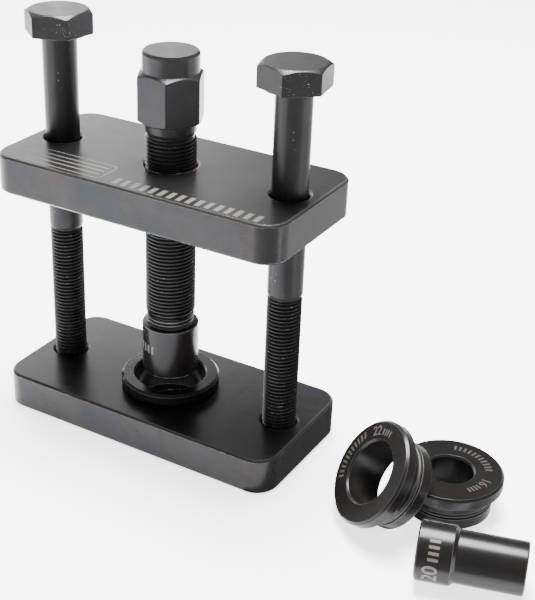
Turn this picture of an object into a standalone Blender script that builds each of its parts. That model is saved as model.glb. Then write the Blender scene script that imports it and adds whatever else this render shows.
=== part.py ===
"""Universal joint press kit: two plates on two guide bolts, a forcing screw with its driver, and loose adapters.

Metres, +Z up. The kit stands on Z = 0 and the frame's origin is the middle of the kit's footprint.
The press itself is laid out round its own centre line, which PRESS moves to its place in that frame.
"""

import math

import bmesh
import bpy
from mathutils import Vector

MM = 0.001
SEGMENTS = 40
CORNER_STEPS = 8
GAP = 0.3 * MM

# Plates
PLATE_LENGTH = 119.0 * MM
PLATE_WIDTH = 57.3 * MM
PLATE_THICKNESS = 14.3 * MM
PLATE_CORNER = 8.6 * MM
PLATE_CHAMFER = 0.8 * MM
UPPER_PLATE_Z = 90.7 * MM
BOLT_SPACING = 96.6 * MM
BOLT_CLEARANCE_RADIUS = 6.9 * MM
HOLE_CHAMFER = 0.8 * MM

# Guide bolts: a heavy hexagon head, a plain shank and a fine thread drawn as a plain cylinder
BOLT_SHANK_RADIUS = 6.35 * MM
BOLT_THREAD_RADIUS = 6.25 * MM
BOLT_NECK_RADIUS = 5.7 * MM
BOLT_LENGTH = 139.7 * MM
BOLT_SHANK_LENGTH = 75.0 * MM
BOLT_HEAD_FLATS = 22.2 * MM
BOLT_HEAD_HEIGHT = 8.9 * MM
LEFT_HEAD_Z = 144.3 * MM
RIGHT_HEAD_Z = 142.2 * MM
LEFT_HEAD_TURN = 21.5
RIGHT_HEAD_TURN = 39.4

# Forcing screw, from its top down
SCREW_TOP = 146.5 * MM
SCREW_BOSS_RADIUS = 10.1 * MM
SCREW_HEX_TOP = 139.2 * MM
SCREW_HEX_BOTTOM = 121.2 * MM
SCREW_HEX_FLATS = 21.7 * MM
SCREW_HEX_TURN = 55.1
SCREW_NECK_RADIUS = 9.1 * MM
SCREW_RELIEF_RADIUS = 8.3 * MM
SCREW_THREAD_TOP = 116.6 * MM
SCREW_THREAD_END = 46.8 * MM
SCREW_THREAD_RADIUS = 9.25 * MM
NOSE_RADIUS = 6.0 * MM
NOSE_LENGTH = 10.0 * MM
NOSE_GROOVE_TOP = 42.4 * MM

# Drivers: a head near the marked diameter, a step and a plain collar with a socket for the nose
DRIVER_22_RADIUS = 10.6 * MM
DRIVER_22_FACE = 21.9 * MM
DRIVER_22_HEAD = 19.65 * MM
DRIVER_22_STEP = 0.3 * MM
DRIVER_22_COLLAR_RADIUS = 8.85 * MM
DRIVER_20_RADIUS = 10.0 * MM
DRIVER_20_HEAD = 11.5 * MM
DRIVER_20_STEP = 1.2 * MM
DRIVER_20_COLLAR_RADIUS = 8.8 * MM
DRIVER_20_LENGTH = 34.8 * MM
DRIVER_EDGE = 0.5 * MM

# Receiver rings, from the marked face down
RING_FLANGE_RADIUS = 18.8 * MM
RING_FLANGE_THICKNESS = 4.2 * MM
RING_FLANGE_CHAMFER = 0.8 * MM
RING_SPIGOT_RADIUS = 15.6 * MM
RING_LENGTH = 14.6 * MM
RING_BORE_CHAMFER = 0.6 * MM
RING_GROOVE_TOP = 8.3 * MM
ORING_RADIUS = 0.65 * MM
ORING_SIDES = 8
RING_FACE_Z = 19.4 * MM
RING_BORES = {"27": 13.5 * MM, "22": 11.2 * MM, "16": 8.2 * MM}

# The loose adapters lie to the right of the press, on the surface that it stands on
RING_16_PLACE = (113.9 * MM, 5.6 * MM)
RING_22_PLACE = (94.3 * MM, -19.6 * MM)
RING_22_TILT = 56.5
RING_22_TURN = -44.1
DRIVER_20_PLACE = (120.2 * MM, -35.4 * MM)
DRIVER_20_TURN = 16.0

# The middle of the press in the frame, which centres the whole kit on the origin
DRIVER_LIP = 0.4 * MM
DRIVER_20_ANGLE = math.radians(DRIVER_20_TURN)
driver_end = DRIVER_20_LENGTH * math.cos(DRIVER_20_ANGLE)
driver_end += (DRIVER_20_COLLAR_RADIUS - DRIVER_LIP) * math.sin(DRIVER_20_ANGLE)
driver_front = DRIVER_20_RADIUS * math.cos(DRIVER_20_ANGLE) - DRIVER_EDGE * math.sin(DRIVER_20_ANGLE)
head_corner = BOLT_HEAD_FLATS / math.sqrt(3) * math.cos(math.radians(LEFT_HEAD_TURN))
KIT_RIGHT = DRIVER_20_PLACE[0] + driver_end
KIT_LEFT = -BOLT_SPACING / 2 - head_corner
KIT_FRONT = DRIVER_20_PLACE[1] - driver_front
KIT_BACK = PLATE_WIDTH / 2
PRESS = Vector((-(KIT_RIGHT + KIT_LEFT) / 2, -(KIT_FRONT + KIT_BACK) / 2, 0))


def clear_scene():
    for old in list(bpy.data.objects):
        bpy.data.objects.remove(old, do_unlink=True)


def make_material(name, color, roughness, metallic):
    material = bpy.data.materials.new(name)
    material.use_nodes = True
    shader = material.node_tree.nodes["Principled BSDF"]
    shader.inputs["Base Color"].default_value = (*color, 1)
    shader.inputs["Roughness"].default_value = roughness
    shader.inputs["Metallic"].default_value = metallic
    return material


def add_object(name, bm, material, place=(0, 0, 0), rotation=(0, 0, 0)):
    """Turns the bmesh into an object whose origin is at place in the press's own layout."""
    bmesh.ops.recalc_face_normals(bm, faces=bm.faces)
    mesh = bpy.data.meshes.new(name)
    bm.to_mesh(mesh)
    bm.free()
    mesh.shade_smooth()
    mesh.set_sharp_from_angle(angle=math.radians(25))
    obj = bpy.data.objects.new(name, mesh)
    bpy.context.scene.collection.objects.link(obj)
    obj.location = PRESS + Vector(place)
    obj.rotation_euler = rotation
    if material:
        mesh.materials.append(material)
    return obj


def turned(profile, open_ends=True, segments=SEGMENTS):
    """Revolves (radius, height) points round Z. Open ends are closed on the axis, other profiles are loops."""
    bm = bmesh.new()
    rings = []
    for radius, height in profile:
        angles = [2 * math.pi * i / segments for i in range(segments)]
        rings.append([bm.verts.new((radius * math.cos(a), radius * math.sin(a), height)) for a in angles])
    pairs = list(zip(rings, rings[1:]))
    if open_ends:
        bm.faces.new(rings[0])
        bm.faces.new(rings[-1])
    else:
        pairs.append((rings[-1], rings[0]))
    for low, high in pairs:
        for i in range(segments):
            j = (i + 1) % segments
            bm.faces.new((low[i], low[j], high[j], high[i]))
    return bm


def cutter(name, bm, place=(0, 0, 0)):
    obj = add_object(name, bm, None, place)
    obj.hide_render = True
    obj.display_type = "WIRE"
    return obj


def cut(obj, tool):
    modifier = obj.modifiers.new(tool.name, "BOOLEAN")
    modifier.operation = "DIFFERENCE"
    modifier.solver = "EXACT"
    modifier.object = tool


def hole_cutter(name, radius, thickness, place):
    """A plug that runs past both faces of a plate and flares at each into the hole's chamfer."""
    over = 2 * MM
    flare = radius + HOLE_CHAMFER
    wide = flare + over
    profile = [(wide, -over), (flare, 0), (radius, HOLE_CHAMFER)]
    profile += [(radius, thickness - HOLE_CHAMFER), (flare, thickness), (wide, thickness + over)]
    return cutter(name, turned(profile), place)


def hexagon_cutter(name, flats, turn, low, high, place):
    """A thick tube with a hexagonal hole, which leaves six flats on the round blank inside it."""
    bm = bmesh.new()
    outer_radius = 2 * flats
    inner_radius = flats / math.sqrt(3)
    levels = []
    for height in (low, high):
        for radius in (outer_radius, inner_radius):
            angles = [math.radians(turn + 60 * i) for i in range(6)]
            levels.append([bm.verts.new((radius * math.cos(a), radius * math.sin(a), height)) for a in angles])
    outer_low, inner_low, outer_high, inner_high = levels
    for i in range(6):
        j = (i + 1) % 6
        bm.faces.new((outer_low[i], outer_low[j], outer_high[j], outer_high[i]))
        bm.faces.new((inner_low[i], inner_low[j], inner_high[j], inner_high[i]))
        bm.faces.new((outer_low[i], outer_low[j], inner_low[j], inner_low[i]))
        bm.faces.new((outer_high[i], outer_high[j], inner_high[j], inner_high[i]))
    return cutter(name, bm, place)


def plate_outline(shrink):
    """The rounded rectangle's points, moved in by shrink."""
    radius = PLATE_CORNER - shrink
    half_x = PLATE_LENGTH / 2 - PLATE_CORNER
    half_y = PLATE_WIDTH / 2 - PLATE_CORNER
    points = []
    for corner, (side_x, side_y) in enumerate(((1, 1), (-1, 1), (-1, -1), (1, -1))):
        for step in range(CORNER_STEPS + 1):
            angle = math.radians(90 * corner + 90 * step / CORNER_STEPS)
            points.append((side_x * half_x + radius * math.cos(angle), side_y * half_y + radius * math.sin(angle)))
    return points


def make_plate(name, base_z, bolt_hole_radius, middle_radius, material):
    top = PLATE_THICKNESS
    levels = ((PLATE_CHAMFER, 0), (0, PLATE_CHAMFER), (0, top - PLATE_CHAMFER), (PLATE_CHAMFER, top))
    bm = bmesh.new()
    loops = [[bm.verts.new((x, y, height)) for x, y in plate_outline(shrink)] for shrink, height in levels]
    bm.faces.new(loops[0])
    bm.faces.new(loops[-1])
    for low, high in zip(loops, loops[1:]):
        for i in range(len(low)):
            j = (i + 1) % len(low)
            bm.faces.new((low[i], low[j], high[j], high[i]))
    plate = add_object(name, bm, material, (0, 0, base_z))
    holes = {"left": (-BOLT_SPACING / 2, bolt_hole_radius), "right": (BOLT_SPACING / 2, bolt_hole_radius)}
    holes["middle"] = (0, middle_radius)
    for side, (x, radius) in holes.items():
        cut(plate, hole_cutter(f"{name}_{side}_hole", radius, top, (x, 0, base_z)))
    return plate


def make_guide_bolt(side, x, head_z, turn, material):
    """The origin is under the head, on the bolt's axis."""
    corner = BOLT_HEAD_FLATS / math.sqrt(3)
    flat = BOLT_HEAD_FLATS / 2
    top = BOLT_HEAD_HEIGHT
    bevel = 0.8 * MM
    tip = 1.2 * MM
    profile = [
        (BOLT_THREAD_RADIUS - tip, -BOLT_LENGTH),
        (BOLT_THREAD_RADIUS, -BOLT_LENGTH + tip),
        (BOLT_THREAD_RADIUS, -BOLT_SHANK_LENGTH - bevel),
        (BOLT_NECK_RADIUS, -BOLT_SHANK_LENGTH - bevel / 2),
        (BOLT_SHANK_RADIUS, -BOLT_SHANK_LENGTH + bevel),
        (BOLT_SHANK_RADIUS, 0),
        (corner, 0),
        (corner, top - (corner - flat)),
        (flat, top),
    ]
    place = (x, 0, head_z)
    bolt = add_object(f"guide_bolt_{side}", turned(profile), material, place)
    cut(bolt, hexagon_cutter(f"bolt_{side}_flats", BOLT_HEAD_FLATS, turn, -MM, top + MM, place))
    return bolt


def make_forcing_screw(material):
    """Boss, hexagon, neck, thread and nose, with a groove in the nose for its retaining ring."""
    corner = SCREW_HEX_FLATS / math.sqrt(3)
    edge = 1.0 * MM
    bevel = 0.7 * MM
    groove_low = NOSE_GROOVE_TOP - 2 * ORING_RADIUS - 2 * GAP
    groove_radius = NOSE_RADIUS - 2 * ORING_RADIUS - GAP
    nose_end = SCREW_THREAD_END - NOSE_LENGTH
    profile = [
        (NOSE_RADIUS - bevel, nose_end),
        (NOSE_RADIUS, nose_end + bevel),
        (NOSE_RADIUS, groove_low),
        (groove_radius, groove_low),
        (groove_radius, NOSE_GROOVE_TOP),
        (NOSE_RADIUS, NOSE_GROOVE_TOP),
        (NOSE_RADIUS, SCREW_THREAD_END),
        (SCREW_THREAD_RADIUS - bevel, SCREW_THREAD_END),
        (SCREW_THREAD_RADIUS, SCREW_THREAD_END + bevel),
        (SCREW_THREAD_RADIUS, SCREW_THREAD_TOP - bevel),
        (SCREW_RELIEF_RADIUS, SCREW_THREAD_TOP),
        (SCREW_NECK_RADIUS, SCREW_THREAD_TOP + 2 * bevel),
        (SCREW_NECK_RADIUS, SCREW_HEX_BOTTOM),
        (corner - bevel, SCREW_HEX_BOTTOM),
        (corner, SCREW_HEX_BOTTOM + bevel / 2),
        (corner, SCREW_HEX_TOP - 1.4 * MM),
        (SCREW_BOSS_RADIUS + 0.2 * MM, SCREW_HEX_TOP),
        (SCREW_BOSS_RADIUS, SCREW_HEX_TOP + 0.2 * MM),
        (SCREW_BOSS_RADIUS, SCREW_TOP - edge),
        (SCREW_BOSS_RADIUS - edge / 2, SCREW_TOP),
    ]
    screw = add_object("forcing_screw", turned(profile), material)
    flats = hexagon_cutter(
        "screw_flats", SCREW_HEX_FLATS, SCREW_HEX_TURN, SCREW_HEX_BOTTOM - MM, SCREW_HEX_TOP + MM, (0, 0, 0)
    )
    cut(screw, flats)
    return screw


def make_driver(name, radius, head, step, collar_radius, length, material, place, rotation):
    """The origin is the middle of the pressing face and +Z runs to the socket's mouth."""
    socket_radius = NOSE_RADIUS + GAP
    lip = DRIVER_LIP
    profile = [
        (radius - DRIVER_EDGE, 0),
        (radius, DRIVER_EDGE),
        (radius, head),
        (collar_radius, head + step),
        (collar_radius, length - lip),
        (collar_radius - lip, length),
        (socket_radius + lip, length),
        (socket_radius, length - lip),
        (socket_radius, length - NOSE_LENGTH),
    ]
    return add_object(name, turned(profile), material, place, rotation)


def make_receiver_ring(size, material, place, rotation=(0, 0, 0)):
    """The origin is the middle of the marked face and the ring runs down from it."""
    bore = RING_BORES[size]
    edge = 0.5 * MM
    groove_low = RING_GROOVE_TOP + 2 * ORING_RADIUS + 2 * GAP
    groove_radius = RING_SPIGOT_RADIUS - 2 * ORING_RADIUS - GAP
    profile = [
        (bore + RING_BORE_CHAMFER, 0),
        (RING_FLANGE_RADIUS - RING_FLANGE_CHAMFER, 0),
        (RING_FLANGE_RADIUS, -RING_FLANGE_CHAMFER),
        (RING_FLANGE_RADIUS, -RING_FLANGE_THICKNESS + edge / 2),
        (RING_FLANGE_RADIUS - edge / 2, -RING_FLANGE_THICKNESS),
        (RING_SPIGOT_RADIUS, -RING_FLANGE_THICKNESS),
        (RING_SPIGOT_RADIUS, -RING_GROOVE_TOP),
        (groove_radius, -RING_GROOVE_TOP),
        (groove_radius, -groove_low),
        (RING_SPIGOT_RADIUS, -groove_low),
        (RING_SPIGOT_RADIUS, -RING_LENGTH + edge),
        (RING_SPIGOT_RADIUS - edge, -RING_LENGTH),
        (bore + edge, -RING_LENGTH),
        (bore, -RING_LENGTH + edge),
        (bore, -RING_BORE_CHAMFER),
    ]
    return add_object(f"receiver_ring_{size}", turned(profile, open_ends=False), material, place, rotation)


def make_oring(name, middle_radius, height, material, place=(0, 0, 0), rotation=(0, 0, 0)):
    angles = [2 * math.pi * (i + 0.5) / ORING_SIDES for i in range(ORING_SIDES)]
    profile = [(middle_radius + ORING_RADIUS * math.cos(a), height + ORING_RADIUS * math.sin(a)) for a in angles]
    return add_object(name, turned(profile, open_ends=False), material, place, rotation)


def ring_22_height():
    """How high the leaning ring's face middle is when the far edge of its spigot touches the ground."""
    tilt = math.radians(RING_22_TILT)
    edge = 0.5 * MM
    low_corner = (RING_LENGTH - edge) * math.cos(tilt) + RING_SPIGOT_RADIUS * math.sin(tilt)
    low_end = RING_LENGTH * math.cos(tilt) + (RING_SPIGOT_RADIUS - edge) * math.sin(tilt)
    return max(low_corner, low_end)


def main():
    clear_scene()
    plate_steel = make_material("plate_black_oxide", (0.09, 0.095, 0.105), 0.42, 1.0)
    bolt_steel = make_material("bolt_black_oxide", (0.055, 0.055, 0.06), 0.4, 1.0)
    screw_steel = make_material("screw_black_oxide", (0.06, 0.06, 0.068), 0.38, 1.0)
    adapter_steel = make_material("adapter_black_oxide", (0.045, 0.043, 0.042), 0.33, 1.0)
    rubber = make_material("oring_rubber", (0.012, 0.012, 0.012), 0.55, 0.0)

    tapped_radius = BOLT_THREAD_RADIUS + GAP
    make_plate("lower_plate", 0, tapped_radius, RING_SPIGOT_RADIUS + GAP, plate_steel)
    make_plate("upper_plate", UPPER_PLATE_Z, BOLT_CLEARANCE_RADIUS, SCREW_THREAD_RADIUS + GAP, plate_steel)
    make_guide_bolt("left", -BOLT_SPACING / 2, LEFT_HEAD_Z, LEFT_HEAD_TURN, bolt_steel)
    make_guide_bolt("right", BOLT_SPACING / 2, RIGHT_HEAD_Z, RIGHT_HEAD_TURN, bolt_steel)
    make_forcing_screw(screw_steel)
    nose_oring_radius = NOSE_RADIUS - ORING_RADIUS
    make_oring("nose_oring", nose_oring_radius, NOSE_GROOVE_TOP - GAP - ORING_RADIUS, rubber)

    driver_22_length = SCREW_THREAD_END - GAP - DRIVER_22_FACE
    make_driver(
        "driver_22", DRIVER_22_RADIUS, DRIVER_22_HEAD, DRIVER_22_STEP, DRIVER_22_COLLAR_RADIUS, driver_22_length,
        adapter_steel, (0, 0, DRIVER_22_FACE), (0, 0, 0),
    )
    make_driver(
        "driver_20", DRIVER_20_RADIUS, DRIVER_20_HEAD, DRIVER_20_STEP, DRIVER_20_COLLAR_RADIUS, DRIVER_20_LENGTH,
        adapter_steel, (*DRIVER_20_PLACE, DRIVER_20_RADIUS), (0, math.pi / 2, DRIVER_20_ANGLE),
    )

    ring_22_rotation = (math.radians(RING_22_TILT), 0, math.radians(RING_22_TURN))
    rings = {
        "27": ((0, 0, RING_FACE_Z), (0, 0, 0)),
        "22": ((*RING_22_PLACE, ring_22_height()), ring_22_rotation),
        "16": ((*RING_16_PLACE, RING_LENGTH), (0, 0, 0)),
    }
    for size, (place, rotation) in rings.items():
        make_receiver_ring(size, adapter_steel, place, rotation)
        height = -RING_GROOVE_TOP - GAP - ORING_RADIUS
        make_oring(f"oring_{size}", RING_SPIGOT_RADIUS - ORING_RADIUS, height, rubber, place, rotation)


main()
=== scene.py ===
"""Looks of the universal joint press kit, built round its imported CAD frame.

Metres, +Z up, in the CAD model's own frame. One fine mesh stands for each CAD node: turned profiles
with rounded edges, hexagons with turned chamfers, and real helical threads. The laser marks and a line
of dried oil are added to them. A mesh's "edge" attribute rises to 1 on its convex edges, where the
black oxide finish has worn.
"""

import math

import bmesh
import bpy
import numpy as np
from mathutils import Matrix, Vector


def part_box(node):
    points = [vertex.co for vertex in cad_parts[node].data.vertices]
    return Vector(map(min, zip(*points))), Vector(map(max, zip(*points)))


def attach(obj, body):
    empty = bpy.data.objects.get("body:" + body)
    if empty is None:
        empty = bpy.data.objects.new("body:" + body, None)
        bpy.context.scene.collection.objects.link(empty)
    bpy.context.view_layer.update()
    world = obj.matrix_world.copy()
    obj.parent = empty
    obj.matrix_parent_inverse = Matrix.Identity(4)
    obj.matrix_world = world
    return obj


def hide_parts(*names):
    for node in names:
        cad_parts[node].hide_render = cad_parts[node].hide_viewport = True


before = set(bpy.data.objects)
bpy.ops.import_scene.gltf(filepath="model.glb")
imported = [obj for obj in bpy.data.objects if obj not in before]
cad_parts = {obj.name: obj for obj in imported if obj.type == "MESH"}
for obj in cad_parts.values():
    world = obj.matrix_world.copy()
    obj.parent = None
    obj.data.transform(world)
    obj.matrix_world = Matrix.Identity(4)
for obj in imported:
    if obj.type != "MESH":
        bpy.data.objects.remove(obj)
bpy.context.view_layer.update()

MM = 0.001

# The middle of the press, which all its pieces share, from the lower plate's CAD box
plate_low, plate_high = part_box("lower_plate")
PRESS = Vector(((plate_low.x + plate_high.x) / 2, (plate_low.y + plate_high.y) / 2, 0))

# The rounding that most small edges share
SOFT_EDGE = 0.12 * MM

# Plates
PLATE_LENGTH = plate_high.x - plate_low.x
PLATE_WIDTH = plate_high.y - plate_low.y
PLATE_THICKNESS = plate_high.z - plate_low.z
UPPER_PLATE_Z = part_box("upper_plate")[0].z
PLATE_CORNER = 8.6 * MM
PLATE_CHAMFER = 0.8 * MM
HOLE_CHAMFER = 0.8 * MM
BOLT_SPACING = 96.6 * MM
CLEARANCE_HOLE_RADIUS = 6.9 * MM
TAPPED_HOLE_RADIUS = 6.55 * MM
LOWER_BORE_RADIUS = 15.9 * MM
UPPER_BORE_RADIUS = 9.55 * MM

# Threads
PITCH = 1.45 * MM
THREAD_DEPTH = 0.86 * MM

# Guide bolts
BOLT_SHANK_RADIUS = 6.35 * MM
BOLT_THREAD_RADIUS = 6.25 * MM
BOLT_NECK_RADIUS = 5.7 * MM
BOLT_LENGTH = 139.7 * MM
BOLT_SHANK_LENGTH = 75.0 * MM
BOLT_HEAD_FLATS = 22.2 * MM
BOLT_HEAD_HEIGHT = 8.9 * MM
BOLT_HEAD_TURNS = {"left": 21.5, "right": 39.4}

# The slope of the turned chamfers that cut a hexagon's corners
CHAMFER_SLOPE = math.tan(math.radians(30))
SCREW_TOP_SLOPE = math.tan(math.radians(33))

# Forcing screw
SCREW_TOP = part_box("forcing_screw")[1].z
SCREW_BOSS_RADIUS = 10.1 * MM
SCREW_BOSS_CHAMFER = 0.6 * MM
SCREW_BOSS_CHAMFER_HEIGHT = 0.9 * MM
SCREW_HEX_TOP = 139.2 * MM
SCREW_HEX_BOTTOM = 121.2 * MM
SCREW_HEX_FLATS = 21.7 * MM
SCREW_HEX_TURN = 55.1
SCREW_NECK_RADIUS = 9.1 * MM
SCREW_RELIEF_RADIUS = 8.3 * MM
SCREW_THREAD_TOP = 116.6 * MM
SCREW_THREAD_END = 46.8 * MM
SCREW_THREAD_RADIUS = 9.25 * MM
NOSE_RADIUS = 6.0 * MM
NOSE_LENGTH = 10.0 * MM
NOSE_GROOVE_TOP = 42.4 * MM

# Drivers: radius, head, step above the head, collar radius and length
DRIVER_22 = (10.6 * MM, 19.65 * MM, 0.3 * MM, 8.85 * MM, 24.6 * MM)
DRIVER_20 = (10.0 * MM, 11.5 * MM, 1.2 * MM, 8.8 * MM, 34.8 * MM)
DRIVER_22_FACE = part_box("driver_22")[0].z
DRIVER_20_PLACE = Vector((120.2 * MM, -35.4 * MM, DRIVER_20[0]))
DRIVER_20_TURN = 16.0
SOCKET_RADIUS = 6.3 * MM
GROOVE_DEPTH = 0.8 * MM
GROOVE_HALF_WIDTH = 0.6 * MM
GROOVE_HALF_FLOOR = 0.12 * MM

# Receiver rings
RING_FLANGE_RADIUS = 18.8 * MM
RING_FLANGE_THICKNESS = 4.2 * MM
RING_SPIGOT_RADIUS = 15.6 * MM
RING_LENGTH = 14.6 * MM
RING_GROOVE_TOP = 8.3 * MM
ORING_RADIUS = 0.65 * MM
GAP = 0.3 * MM
RING_BORES = {"27": 13.5 * MM, "22": 11.2 * MM, "16": 8.2 * MM}
RING_27_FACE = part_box("receiver_ring_27")[1].z
RING_16_PLACE = Vector((113.9 * MM, 5.6 * MM, RING_LENGTH))
RING_22_PLACE = Vector((94.3 * MM, -19.6 * MM, 20.79 * MM))
RING_22_TILT = 56.5
RING_22_TURN = -44.1

# Camera, which looks down at the press from its front right
CAMERA_AZIMUTH = 31.342
CAMERA_ELEVATION = 27.225
CAMERA_ROLL = 1.24
CAMERA_TARGET = Vector((21.36 * MM, 0, 61.38 * MM))
CAMERA_DISTANCE = 458.14 * MM
CAMERA_LENS = 75.70
CAMERA_SHIFT = (0.08, -0.02)

# Brightness of the floor, the room, the sky beyond the floor, the upright paper and the four other cards
FLOOR = 2.4
ROOM = 0.5
HORIZON = 2.6
PAPER = 3.2
PAPER_TOP = 0.8
CARD_FRONT = 1.2
CARD_SIDE = 1.7
# The near card's low brightness is painted shadow: the floor's shade beside the lower plate's right side,
# seen in reflections
PAINTED_SHADOW_GLOW = 0.2
LAMP_LEFT = 14.0

# Half the floor's side, far enough that its edge stays out of sight from every side
FLOOR_REACH = 12.0
FLOOR_DROP = 0.05 * MM

# The floor's glow starts at the first radius from the middle of the press and is full at the second. The
# dark disc inside, under the lower plate's bore, is painted shade
FLOOR_PAINTED_SHADE_RADII = (14 * MM, 17 * MM)

# The overhead soft light, as place, target, size and power
KEY_LIGHT = ((-0.1, 0.2, 1.15), (0.05, 0, 0.03), (0.45, 0.6), 75)

# Studio cards, as corners in millimetres from the press
LAMP_TOWARD = Vector((-1.1, 0.35, 0.30))
LAMP_AWAY = 1190
LAMP_HEIGHT = 50
LAMP_HALF_WIDTH = 200
LAMP_HALF_HEIGHT = 250
PAPER_WAY = Vector((0.816, 0.579, 0))
PAPER_AWAY = Vector((-0.579, 0.816, 0)) * 500
PAPER_ALONG = PAPER_WAY * 520
PAPER_HEIGHT = 700
FRONT_CARD = ((92, -68), (200, -46), (700, 60), (1000, -900), (-60, -900), (-60, -240), (80, -180))
RIGHT_CARD = ((50, -31), (60, -31), (120, -20), (420, 60), (420, 460), (60, 460), (50, 70))
# The near card is painted shadow of the floor just right of the lower plate
PAINTED_SHADOW_CARD = ((50, -31), (60, -31), (110, -22), (125, 90), (50, 90))

# Columns round the turned pieces
ROUND = 96
FINE_ROUND = 120
BEAD_ROUND = 180

# A convex edge starts to count as worn at the first angle and counts in full from the second
EDGE_ANGLE = math.radians(7.5)
FULL_EDGE_ANGLE = math.radians(16)
SHARP_ANGLE = math.radians(32)


# ---------------------------------------------------------------- profiles and skins


def add_object(name, data):
    obj = bpy.data.objects.new(name, data)
    bpy.context.scene.collection.objects.link(obj)
    return obj


def face_mesh(name, points, faces):
    mesh = bpy.data.meshes.new(name)
    mesh.from_pydata(points, [], faces)
    return mesh


def rounded_outline(half_x, half_y, radius, steps):
    """The (x, y) points of a rectangle whose corners are arcs round (half_x, half_y) and its mirrors."""
    points = []
    for quarter, (side_x, side_y) in enumerate(((1, 1), (-1, 1), (-1, -1), (1, -1))):
        for step in range(steps + 1):
            angle = math.radians(90 * quarter + 90 / steps * step)
            x = side_x * half_x + radius * math.cos(angle)
            y = side_y * half_y + radius * math.sin(angle)
            points.append((x, y))
    return points


def rounded(corners, closed=False, steps=4, guard=0.3 * MM):
    """The (radius, height) points of a profile whose corners are (radius, height, rounding).

    Beside each rounded corner a guard point keeps the wear of the edge from spreading over the flat.
    """
    points = []
    count = len(corners)
    for k, (radius, height, rounding) in enumerate(corners):
        here = Vector((radius, height))
        if not rounding or (not closed and k in (0, count - 1)):
            points.append(tuple(here))
            continue
        before = Vector(corners[k - 1][:2]) - here
        after = Vector(corners[(k + 1) % count][:2]) - here
        opening = before.angle(after)
        reach = min(rounding / math.tan(opening / 2), 0.45 * before.length, 0.45 * after.length)
        rounding = reach * math.tan(opening / 2)
        before_way = before.normalized()
        after_way = after.normalized()
        centre = here + (before_way + after_way).normalized() * rounding / math.sin(opening / 2)
        start = here + before_way * reach - centre
        end = here + after_way * reach - centre
        sweep = start.angle(end)
        if before.length > 3 * (reach + guard):
            points.append(tuple(here + before_way * (reach + guard)))
        for step in range(steps + 1):
            share = step / steps
            mixed = start * math.sin((1 - share) * sweep) + end * math.sin(share * sweep)
            points.append(tuple(centre + mixed / math.sin(sweep)))
        if after.length > 3 * (reach + guard):
            points.append(tuple(here + after_way * (reach + guard)))
    return points


def even_columns(count=ROUND):
    return np.arange(count) * 2 * math.pi / count


def hexagon_columns(flats, turn, rounding=0.35 * MM, flat_steps=9):
    """Column angles and radii of a hexagon with slightly rounded corners, one of them at turn degrees."""
    inner = flats / 2
    corner_centre = (inner - rounding) / math.cos(math.pi / 6)
    corner = []
    for degrees in (-30, -15, 0, 15, 30):
        bearing = math.radians(degrees)
        x = corner_centre + rounding * math.cos(bearing)
        y = rounding * math.sin(bearing)
        corner.append((math.atan2(y, x), math.hypot(x, y)))
    edge = corner[-1][0]
    guard = edge + math.radians(1.6)
    flat = []
    for bearing in np.linspace(guard, math.radians(60) - guard, flat_steps):
        flat.append((bearing, inner / math.cos(bearing - math.pi / 6)))
    angles = []
    radii = []
    for side in range(6):
        for bearing, radius in corner + flat:
            angles.append(math.radians(turn + 60 * side) + bearing)
            radii.append(radius)
    return np.array(angles), np.array(radii)


class Skin:
    """A mesh built up from rows of points round Z, with one point for each column angle."""

    def __init__(self, angles):
        self.angles = np.asarray(angles, float)
        self.points = []
        self.faces = []
        self.first = None
        self.last = None

    def point(self, column, radius, height):
        angle = self.angles[column]
        self.points.append((radius * math.cos(angle), radius * math.sin(angle), height))
        return len(self.points) - 1

    def ring(self, radius, height):
        count = len(self.angles)
        radii = np.broadcast_to(radius, count)
        heights = np.broadcast_to(height, count)
        return [self.point(i, radii[i], heights[i]) for i in range(count)]

    def row(self, radius, height):
        now = self.ring(radius, height)
        if self.last is None:
            self.first = now
        else:
            self.join(self.last, now)
        self.last = now

    def rows(self, profile):
        for radius, height in profile:
            self.row(radius, height)

    def join(self, low, high):
        count = len(low)
        for i in range(count):
            j = (i + 1) % count
            self.faces.append((low[i], low[j], high[j], high[i]))

    def cap_first(self):
        self.faces.append(tuple(reversed(self.first)))

    def cap_last(self):
        self.faces.append(tuple(self.last))

    def close(self):
        self.join(self.last, self.first)

    def thread(self, crest, high, end_radius):
        """A right-hand thread from the last row up to a plain ring of end_radius at height high.

        shape is one turn's profile as (share of the pitch, radius). At both ends the thread tapers into
        the plain rows, as if it were cut through a chamfer.
        """
        root = crest - THREAD_DEPTH
        shape = [
            (-0.10, crest - 0.07 * MM), (-0.045, crest), (0.045, crest), (0.10, crest - 0.07 * MM),
            (0.33, root + 0.07 * MM), (0.42, root), (0.58, root), (0.67, root + 0.07 * MM),
        ]
        start = self.last
        low = self.points[start[0]][2]
        start_radius = math.hypot(*self.points[start[0]][:2])
        end = self.ring(end_radius, high)
        snap = 0.03 * PITCH
        base = low - 2 * PITCH
        turns = math.ceil((high - base) / PITCH) + 2
        columns = []
        for i, angle in enumerate(self.angles):
            lead = (angle - self.angles[0]) / (2 * math.pi)
            column = []
            for turn in range(turns):
                for share, radius in shape:
                    height = base + PITCH * (turn + share + lead)
                    if height <= low + snap:
                        column.append(start[i])
                    elif height >= high - snap:
                        column.append(end[i])
                    else:
                        radius = min(radius, start_radius + (height - low))
                        radius = max(radius, end_radius - 0.8 * (high - height))
                        radius = min(radius, end_radius + 1.3 * (high - height))
                        column.append(self.point(i, radius, height))
            columns.append(column)
        count = len(self.angles)
        for i in range(count):
            j = (i + 1) % count
            shift = 0 if j else len(shape)
            for k in range(len(columns[0]) - 1 - shift):
                right = columns[j][k + shift:k + shift + 2]
                corners = tuple(dict.fromkeys((columns[i][k], *right, columns[i][k + 1])))
                if len(corners) > 2:
                    self.faces.append(corners)
        self.last = end

    def build(self, name, place):
        return finish_mesh(name, face_mesh(name, self.points, self.faces), place)


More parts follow.
